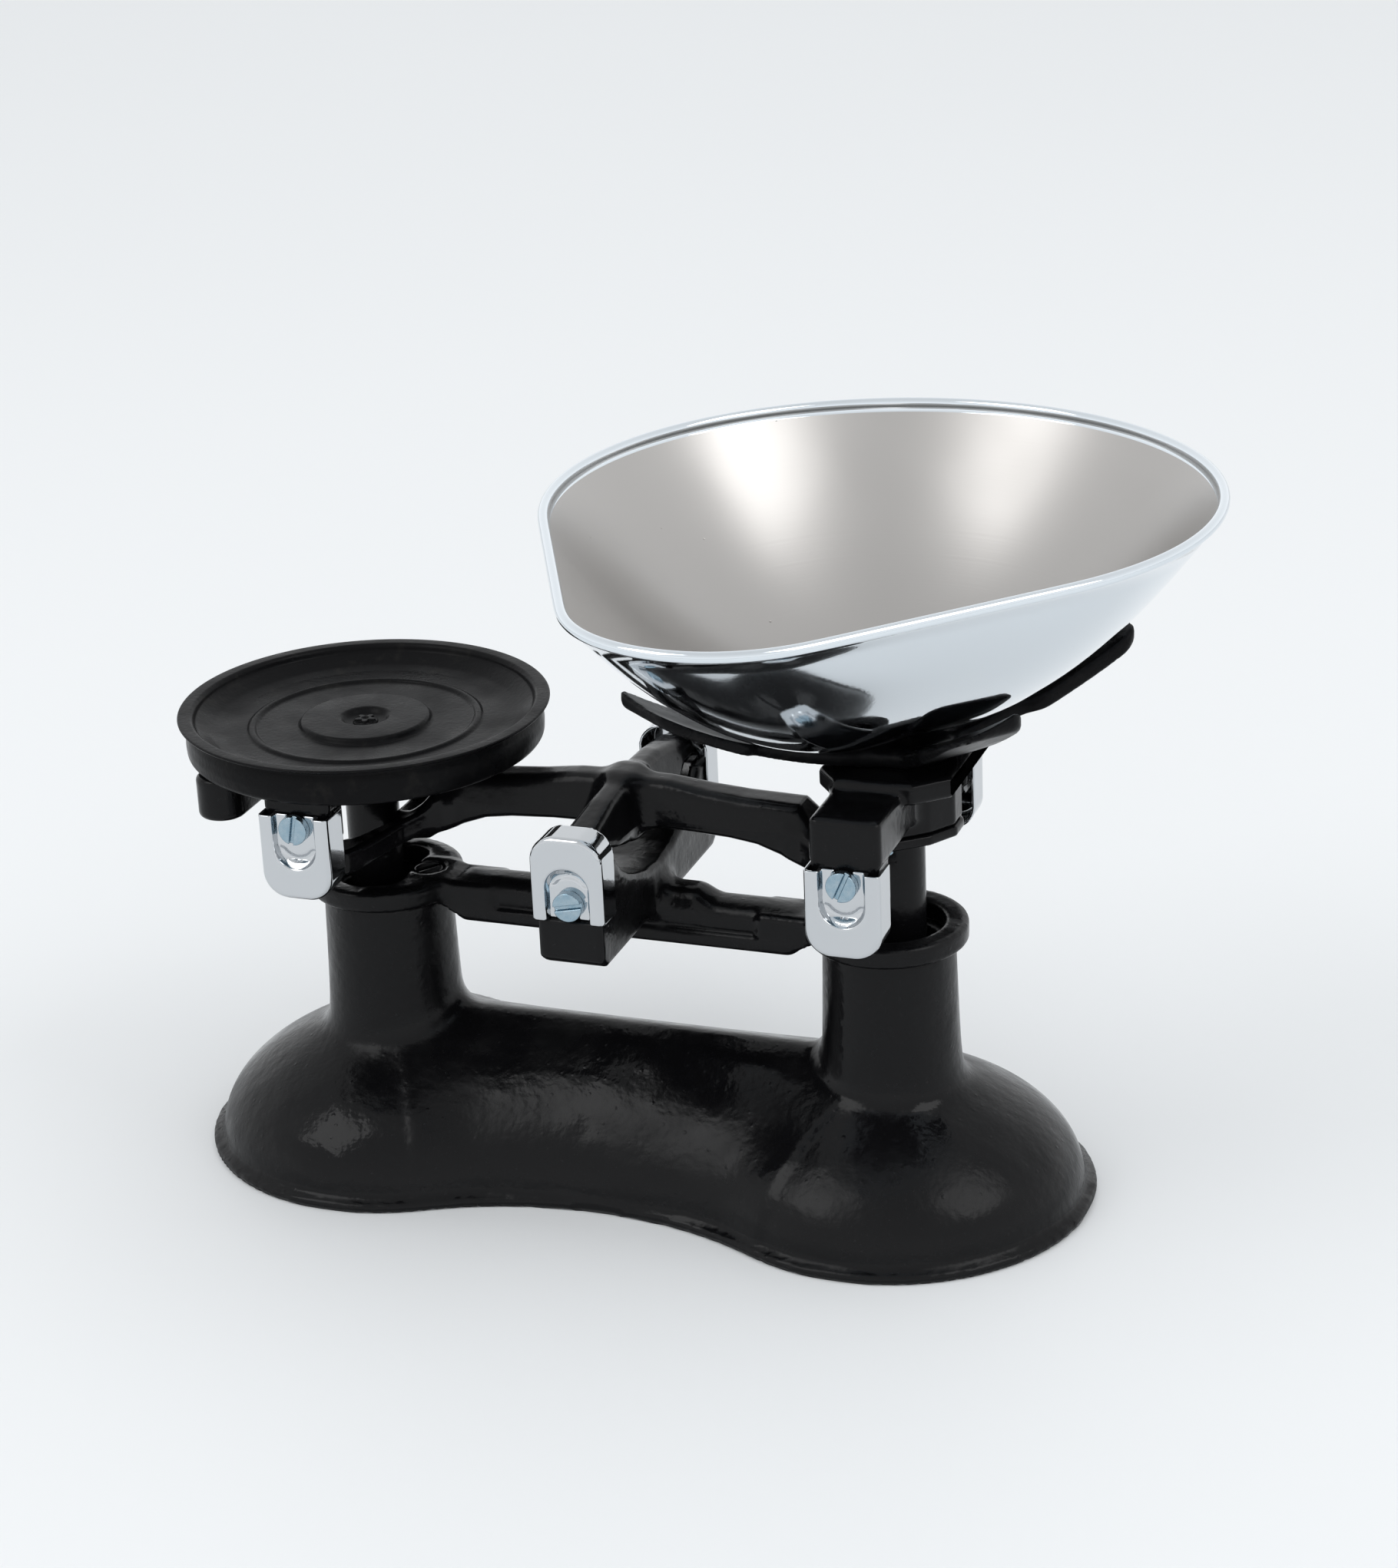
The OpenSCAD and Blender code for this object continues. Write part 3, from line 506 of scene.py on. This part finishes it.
def beam_field(x, y, z):
    sx = np.abs(x)
    width = 8.2 - np.clip(z - 110, 0, 20) * 0.33 - np.clip(110 - z, 0, 20) * 0.07
    arm = smax(poly(x, z, SIDE), np.abs(y) - width, 3)
    width = 7.2 - np.clip(z - 110, 0, 20) * 0.36 - np.clip(110 - z, 0, 20) * 0.25
    cross = smax(poly(y, z, CROSS), np.abs(x) - width, 2.2)
    rise = 0.42 * np.logaddexp(0, (68 - sx) / 2.5) * 2.5
    yoke = both(poly(sx, y, YOKE), slab(z - rise, 97, 104.3), 1.8)
    d = smin(smin(arm, cross, 6), yoke, 4)
    d = np.maximum(d, -knife_cut(y, z, x, False, 30, 44))
    return np.maximum(d, -knife_cut(y, z, sx - ARM, True, 30.5, 46))


piece("beam_body", *net(beam_field, (-88, -44, 96), (88, 44, 123), 0.85), [M["enamel_machined"]],
      "beam", ["beam_casting"], "enamel")

# ---- carriers --------------------------------------------------------------


def lug(x, y, z):
    y = np.abs(y)
    d = block((x, y, z), (-9.2, 38, 110.5), (9.2, 48.4, 121.5), 0.6)
    return np.maximum(d, -np.maximum(ring(x, z - 116.3) - 2.5, 39.6 - y))


def left_field(x, y, z):
    x0 = x + ARM
    sy = np.abs(y)
    d = block((x0, sy, z), (-10, 19, 120.4), (10, 48.4, 125.2), 1.2)
    d = smin(d, block((x0, sy, z), (-10, -24, 116), (10, 24, 125.2), 1.5), 2)
    d = smin(d, block((x, y, z), (-106, -8, 116), (-86, 8, 123.8), 1.2), 2)
    d = smin(d, lug(x0, y, z), 1)
    tab = rect(x, sy, -118, -104, -30, 40, 6.9)
    d = smin(d, both(tab, slab(z, 111, 123.6), 1.6), 2)
    hole = block((x, y, z), (-115, -28, 113.5), (-107, 28, 121.5), 0.1)
    return np.maximum(d, -hole)


LID_SCREW_Y = 14


def box_plan(i):
    """Outline of the hub box and of its lid, moved in by i."""
    a, b = 18.3 - i, 18.8 - i
    half = [(a, -3.5), (a, 3.5), (a - 5, b - 7.3), (4, b)]
    return half + [(-u, v) for u, v in half[::-1]] + [(5 - a, 7.3 - b), (-4, -b), (4, -b),
                                                       (a - 5, 7.3 - b)]


FLANGE = [(22, -19.5), (22, 19.5), (13, 28), (-9, 28), (-15.5, 20), (-15.5, -20), (-9, -28),
          (13, -28)]


def right_field(x, y, z):
    x0 = x - ARM
    sx, sy = np.abs(x0), np.abs(y)
    d = both(poly(x0, y, box_plan(0.5)), slab(z, 116, 132.5), 1.2)
    d = smin(d, block((x0, sy, z), (-10, -1, 120.4), (10, 48.4, 134), 2), 2.5)
    d = smin(d, both(poly(x0, y, FLANGE), slab(z, 131, 137.2), 1.6), 2)
    d = smin(d, lug(x0, y, z), 1)
    inner = np.maximum(poly(x0, y, box_plan(3)), slab(z, 110, 126))
    inner = np.maximum(inner, 10.5 - ring(x0, y))
    inner = np.maximum(inner, 3.2 - ring(x0, sy - LID_SCREW_Y))
    d = smax(d, -inner, 0.5)
    d = np.maximum(d, -np.maximum(ring(x0, sy - LID_SCREW_Y) - 1.5, z - 124))
    return np.maximum(d, -np.maximum(ring(x0, sy - 8.5) - 2.5, 131 - z))


piece("left_carrier_body", *net(left_field, (-119, -52, 110), (-69, 52, 126), 0.8),
      [M["enamel_machined"]], "left_pan", ["left_carrier"], "enamel")
piece("right_carrier_body", *net(right_field, (59, -52, 110), (101, 52, 138), 0.8),
      [M["enamel_machined"]], "right_pan", ["right_carrier"], "enamel")


def lid_field(x, y, z):
    x0 = x - ARM
    d = both(poly(x0, y, box_plan(0)), slab(z, 113, 116), 0.8)
    d = np.maximum(d, 8.1 - ring(x0, y))
    return np.maximum(d, 1.7 - ring(x0, np.abs(y) - LID_SCREW_Y))


piece("lid_body", *net(lid_field, (61, -23, 112), (99, 23, 117), 0.6), [M["enamel_machined"]],
      "right_pan", ["box_lid"], "enamel")

# ---- covers and screws -----------------------------------------------------

CAP_W, CAP_H, CAP_D, REC_W, REC_H, REC_D = 10.65, 24.9, 10.0, 6.25, 15.5, 2.3


def arch(x, y, half, h, corner):
    a, b = np.abs(x) - half + corner, y - h + corner
    return ring(np.maximum(a, 0), np.maximum(b, 0)) + np.minimum(np.maximum(a, b), 0) - corner


def cap_field(x, y, z):
    """Local frame: x across, y from the open end, z out from the casting."""
    t = 0.9
    outer = both(arch(x, y, CAP_W, CAP_H, 7.5), z - CAP_D, 1.5)
    inner = both(arch(x, y, CAP_W - t, CAP_H - t, 6.6), z - CAP_D + t, 0.8)
    shell = np.maximum(np.maximum(outer, -inner), -z)
    # Drafted recess, its floor ramped at the inner end with a pressed crescent there
    ramp = np.clip((REC_H + 0.2 - y) / 2.2, 0, 1) * (REC_D - 0.5)
    smile = np.clip(1.3 - np.abs(ring(x, y - 7.6) - 5.6), 0, 1) * np.clip(y - 9.6, 0, 1) * 0.6
    deep = CAP_D - 0.5 - ramp - smile
    draft = 0.35 * np.clip(z - CAP_D + REC_D, 0, REC_D)
    pan_top = np.maximum(arch(x, y, REC_W - 0.5, REC_H - 0.5, 5.6) - draft, deep - z)
    pan = np.maximum(np.maximum(arch(x, y, REC_W + t, REC_H + t, 6.5), deep - t - z), z - CAP_D + 0.3)
    d = smax(np.minimum(shell, pan), -pan_top, 0.6)
    d = np.maximum(d, -arch(x, y, 2.6, 7.4, 2.5))
    return np.maximum(d, -y)


def screw_field(x, y, z):
    """Local frame: head from z 0 up, slot along y."""
    head = both(ring(x, y) - 4.25, slab(z, 0, 2.6), 0.35)
    dome = smax(head, -np.maximum(np.abs(x) - 0.65, 1.4 - z), 0.15)
    shank = np.maximum(ring(x, y) - 2.45, slab(z, -6, 0.4))
    return np.minimum(dome, shank)


cap_mesh = net(cap_field, (-11, 0, 0), (11, 25, 10), 0.42)
screw_mesh = net(screw_field, (-4.4, -4.4, -6), (4.4, 4.4, 2.7), 0.3)
FLIP = Matrix.Scale(-1, 4, (0, 1, 0))


def cap_at(x, y, z, down, rear):
    m = Matrix(((1, 0, 0, x), (0, 0, -1, -(y - CAP_D)), (0, -1 if down else 1, 0, z), (0, 0, 0, 1)))
    return placed(cap_mesh, FLIP @ m if rear else m)


def screw_at(x, y, z, turn, rear):
    m = Matrix(((1, 0, 0, x), (0, 0, -1, -y + REC_D), (0, 1, 0, z), (0, 0, 0, 1)))
    m = m @ Matrix.Rotation(math.radians(turn), 4, "Z")
    return placed(screw_mesh, FLIP @ m if rear else m)


for name, x, y, z, down, body in (("centre", 0, 48.5, 95.7, False, "base"),
                                  ("left", -ARM, 51.8, 120.2, True, "left_pan"),
                                  ("right", ARM, 51.8, 120.2, True, "right_pan")):
    for side in ("front", "rear"):
        mesh = cap_at(x, y, z, down, side == "rear")
        piece(f"{name}_cover_{side}", *mesh, [M["chrome"]], body, [f"{name}_cap_{side}"], "chrome")
    sz = z - 3.9 if down else z + 4.6
    turn = {"centre": (102, 40), "left": (-10, 65), "right": (-24, 20)}[name]
    both_screws = joined(screw_at(x, y, sz, turn[0], False), screw_at(x, y, sz, turn[1], True))
    piece(f"{name}_cover_screws", *both_screws, [M["zinc"]], body, [f"{name}_cap_screws"], "zinc")

up = [placed(screw_mesh, Matrix.Translation((s * BRIDGE_SCREW_X, 0, 82.55))
             @ Matrix.Rotation(s * 0.6, 4, "Z"))
      for s in (-1, 1)]
piece("bridge_screw_heads", *joined(*up), [M["enamel_machined"]], "base", ["bridge_screws"], "zinc")

# ---- weight plate ----------------------------------------------------------

T = 135.6  # Top of the plate rim
OUT = [(0, 125.6), (10, 125.6), (12, 125.2), (49.8, 125.2), (49.9, 124.3), (51, 124.2),
       (51.7, 125.2), (51.9, 128.2), (51.5, 131.2), (50.5, 133.2), (50.8, T - 1.6), (53.4, T - 1),
       (53.9, T - 0.4), (53.5, T), (50, T), (49.2, T - 0.8), (48.9, T - 2.2), (47.6, T - 2.9),
       (44.2, T - 4.9), (41, T - 5.5), (34.2, T - 5.7), (33.4, T - 4.9), (32.1, T - 4.9),
       (31.3, T - 5.8), (19.4, T - 5.9), (18.5, T - 4.2), (7.2, T - 4.2), (5.7, T - 5.9),
       (3.2, T - 6.1), (0, T - 6.1)]
v, f = lathe(rounded(OUT, 0.75), 200, (-ARM, 0))
piece("plate_body", v, f, [M["satin"]], "left_pan", ["weight_plate"], "satin")


def rivet_field(x, y, z):
    r, a = ring(x, y), np.arctan2(y, x)
    star = r - (2.5 + 0.75 * np.cos(5 * a))
    d = both(r - 3.7, slab(z, -1.5, 0.9), 0.5)
    d = smin(d, both(star, slab(z, 0, 1.7), 0.4), 0.5)
    return np.maximum(d, -(ring(r, z - 2.2) - 1.2))


piece("plate_rivet_head", *placed(net(rivet_field, (-4, -4, -1.6), (4, 4, 1.8), 0.22),
                                  Matrix.Translation((-ARM, 0, 129.1))),
      [M["satin"]], "left_pan", ["plate_rivet"], "satin")

# ---- spider ----------------------------------------------------------------

SP_LOW, SP_T, SP_SCREW_Y = 137.3, 4.2, 8.5  # underside, thickness, screw offset
BOWL_GAP = 0.4
# Each arm: heading, where the leaf starts, reach, rise and bend
ARMS = [(-40, 28, 45, 0.42, 0.0058), (33, 36, 66, 0.36, 0.0032), (-129, 52, 80, 0.24, 0.003),
        (146, 38, 72, 0.205, 0.003)]


def bowl_low(x, y):
    """Underside of the bowl, taken a little low where its plan is longer than its round end."""
    out = ring(x - BOWL_X, y - BOWL_Y)
    along = -(x - BOWL_X) * 0.151 - (y - BOWL_Y) * 0.989
    reach = ROUND_R + 39.9 * np.clip(along / np.maximum(out, 1) * 1.35 - 0.35, 0, 1)
    return BOWL_Z + (RIM_Z - BOWL_Z) * (out / reach) ** POWER


def spider_field(x, y, z):
    x0 = x - ARM
    d = both(ring(x0, y) - 18, slab(z, SP_LOW, SP_LOW + SP_T), 1.3)
    for head, start, reach, rise, bend in ARMS:
        c, s = math.cos(math.radians(head)), math.sin(math.radians(head))
        u, w = x0 * c + y * s, np.abs(y * c - x0 * s)
        e = np.maximum(u - 16, 0)
        top = SP_LOW + SP_T + rise * e + bend * e * e
        slope = np.sqrt(1 + (rise + 2 * bend * e) ** 2)
        sheet = np.abs((z - top) / slope + SP_T / 2) - SP_T / 2
        strap = np.maximum(w - 9, np.maximum(-u, u - start - 4))
        mid, half = (start + reach) / 2, (reach - start) / 2
        leaf = both(np.abs(u - mid) - half, w - 13, 5)
        plan = smin(strap, leaf, 5)
        d = smin(d, both(plan, sheet, 1.4), 3)
    d = np.maximum(d, z - bowl_low(x, y) + BOWL_GAP)
    d = np.maximum(d, SP_LOW - z)
    return np.maximum(d, 2.5 - ring(x0, np.abs(y) - SP_SCREW_Y))


piece("spider_body", *net(spider_field, (8, -76, 137), (146, 54, 178), 0.95), [M["satin"]],
      "right_pan", ["spider"], "satin")


def low_screw(x, y, z):
    d = both(ring(x, y) - 4.4, slab(z, -1.7, -0.1), 0.2)
    return smax(d, -np.maximum(np.abs(y) - 0.6, -0.9 - z), 0.15)


low = net(low_screw, (-4.8, -4.8, -2), (4.8, 4.8, 1.2), 0.3)
low = [placed(low, Matrix.Translation((ARM, s * SP_SCREW_Y, SP_LOW + SP_T)) @ Matrix.Rotation(0.25, 4, "Z"))
       for s in (-1, 1)]
piece("spider_screw_heads", *joined(*low), [M["satin"]], "right_pan", ["spider_screws"], "satin")

# ---- scoop -----------------------------------------------------------------

BOWL = np.array([BOWL_X, BOWL_Y])
TURN = math.radians(-98.7)
AXIS = np.array([math.cos(TURN), math.sin(TURN)])


def rim_at(a):
    n = np.stack([np.cos(a), np.sin(a)], -1)
    front = BOWL + SCOOP_LEN * AXIS
    far = (n @ front + POUR_R) > (n @ BOWL + ROUND_R)
    return np.where(far[:, None], front + POUR_R * n, BOWL + ROUND_R * n), n


def scoop_mesh():
    # Angles of equal steps in arc, with the two straight sides filled in between
    a = np.linspace(0, 2 * math.pi, 720, endpoint=False)
    p, n = rim_at(a)
    p, n = np.vstack([p, p[:1]]), np.vstack([n, n[:1]])
    dist = np.concatenate([[0], np.cumsum(np.linalg.norm(np.diff(p, axis=0), axis=1))])
    steps = 300
    want = np.linspace(0, dist[-1], steps, endpoint=False)
    rim = np.stack([np.interp(want, dist, p[:, i]) for i in (0, 1)], 1)
    nor = np.stack([np.interp(want, dist, n[:, i]) for i in (0, 1)], 1)
    for _ in range(12):
        nor = (np.roll(nor, 1, 0) + 2 * nor + np.roll(nor, -1, 0)) / 4
        rim = rim * 0.5 + (np.roll(rim, 1, 0) + np.roll(rim, -1, 0)) / 4
    nor /= np.linalg.norm(nor, axis=1, keepdims=True)
    t, bead, depth = 0.9, 1.5, RIM_Z - BOWL_Z
    loops, inside = [], []
    rings = 34
    edge = 0.985  # the sheet stops here and the bead takes over
    for k in range(1, rings + 1):
        s = k / rings * edge
        xy = BOWL + s * (rim - BOWL)
        loops.append(np.c_[xy, np.full(steps, BOWL_Z + depth * s ** POWER)])
        inside.append(0)
    for k in range(17):
        b = math.radians(-60 + 290 * k / 16)
        xy = rim + (bead * (math.cos(b) - 1) + 1) * nor
        loops.append(np.c_[xy, np.full(steps, RIM_Z + 0.5 + bead * math.sin(b))])
        inside.append(0)
    for k in range(rings, 0, -1):
        s = k / rings * edge
        xy = BOWL + s * (rim - BOWL) - t * s * nor
        loops.append(np.c_[xy, np.full(steps, BOWL_Z + depth * s ** POWER + t * (1 - s * 0.75))])
        inside.append(1)
    count = len(loops)
    verts = np.vstack(loops + [[[*BOWL, BOWL_Z], [*BOWL, BOWL_Z + t]]])
    faces, picks = [], []
    for k in range(count - 1):
        for i in range(steps):
            j = (i + 1) % steps
            faces.append((k * steps + i, k * steps + j, (k + 1) * steps + j, (k + 1) * steps + i))
            picks.append(inside[k])
    low, last = count * steps, (count - 1) * steps
    for i in range(steps):
        j = (i + 1) % steps
        faces.append((low, j, i))
        picks.append(0)
        faces.append((low + 1, last + i, last + j))
        picks.append(1)
    return verts, faces, picks


v, f, picks = scoop_mesh()
piece("scoop_body", v, f, [M["outside"], M["inside"]], "scoop", ["scoop"], "chrome", picks=picks)

# ---- carried-over CAD nodes ------------------------------------------------

KEEP = {"steel": ["centre_bearing_front", "centre_bearing_rear", "left_bearing_front",
                  "left_bearing_rear", "right_bearing_front", "right_bearing_rear",
                  "centre_knife_front", "centre_knife_rear", "left_knife_front",
                  "left_knife_rear", "right_knife_front", "right_knife_rear",
                  "stay_pivot_pin", "left_stay_pin", "right_stay_pin", "stay_link"],
        "enamel_machined": ["left_stem", "right_stem"],
        "zinc": ["lid_screws"],
        "weight_metal": ["balance_lead", "tare_lead"]}
for mat, names in KEEP.items():
    for name in names:
        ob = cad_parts.get(name)
        if ob is not None:
            for slot in ob.material_slots:
                slot.material = M[mat]

# ---- floor, light and camera -----------------------------------------------


def floor():
    me = bpy.data.meshes.new("floor")
    s = 60.0  # half width in metres, so its edge is out of sight
    me.from_pydata([(-s, -s, 0), (s, -s, 0), (s, s, 0), (-s, s, 0)], [], [(0, 1, 2, 3)])
    ob = bpy.data.objects.new("floor", me)
    bpy.context.scene.collection.objects.link(ob)
    m = Mat("floor_paper", (0.83, 0.845, 0.855), 0.55)
    m.link(m.mix(m.noise(1.5, 2), (0.825, 0.84, 0.85), (0.84, 0.855, 0.865)),
           m.p.inputs["Base Color"])
    me.materials.append(m.m)


def lamp(name, at, aim, size, watts, colour=(1, 1, 1)):
    data = bpy.data.lights.new(name, "AREA")
    data.shape = "RECTANGLE"
    data.size, data.size_y = size
    data.energy = watts
    data.color = colour
    ob = bpy.data.objects.new(name, data)
    ob.location = at
    ob.rotation_euler = (Vector(aim) - Vector(at)).to_track_quat("-Z", "Y").to_euler()
    bpy.context.scene.collection.objects.link(ob)


def camera():
    az, el, roll, dist = (math.radians(20.49), math.radians(22.1), math.radians(-2.58), 1.0079)
    target = Vector((0.02213, 0, 0.11984))
    back = Vector((math.sin(az) * math.cos(el), -math.cos(az) * math.cos(el), math.sin(el)))
    right = Vector((math.cos(az), math.sin(az), 0))
    top = back.cross(right)
    r = math.cos(roll) * right + math.sin(roll) * top
    u = -math.sin(roll) * right + math.cos(roll) * top
    data = bpy.data.cameras.new("camera")
    data.sensor_fit, data.sensor_width, data.lens = "HORIZONTAL", 36.0, 92.22
    ob = bpy.data.objects.new("camera", data)
    at = target + dist * back
    ob.matrix_world = Matrix(((r.x, u.x, back.x, at.x), (r.y, u.y, back.y, at.y),
                              (r.z, u.z, back.z, at.z), (0, 0, 0, 1)))
    bpy.context.scene.collection.objects.link(ob)
    bpy.context.scene.camera = ob


floor()
camera()
lamp("key", (-1.1, -1.1, 1.85), (0.02, 0, 0.12), (1.2, 1.2), 10)
lamp("fill", (1.55, -0.3, 1.75), (0.02, 0, 0.12), (1.2, 1.2), 10)
world = bpy.data.worlds.new("studio")
world.use_nodes = True
tree = world.node_tree
# Sky a little brighter at the horizon than overhead
aim = tree.nodes.new("ShaderNodeTexCoord")
parts = tree.nodes.new("ShaderNodeSeparateXYZ")
ramp = tree.nodes.new("ShaderNodeMapRange")
tree.links.new(aim.outputs["Generated"], parts.inputs[0])
tree.links.new(parts.outputs["Z"], ramp.inputs["Value"])
ramp.inputs["To Min"].default_value = 1.12
ramp.inputs["To Max"].default_value = 0.78
tree.links.new(ramp.outputs["Result"], tree.nodes["Background"].inputs["Strength"])
tree.nodes["Background"].inputs["Color"].default_value = (0.97, 0.985, 1.0, 1)
bpy.context.scene.world = world
bpy.context.scene.view_settings.view_transform = "Standard"
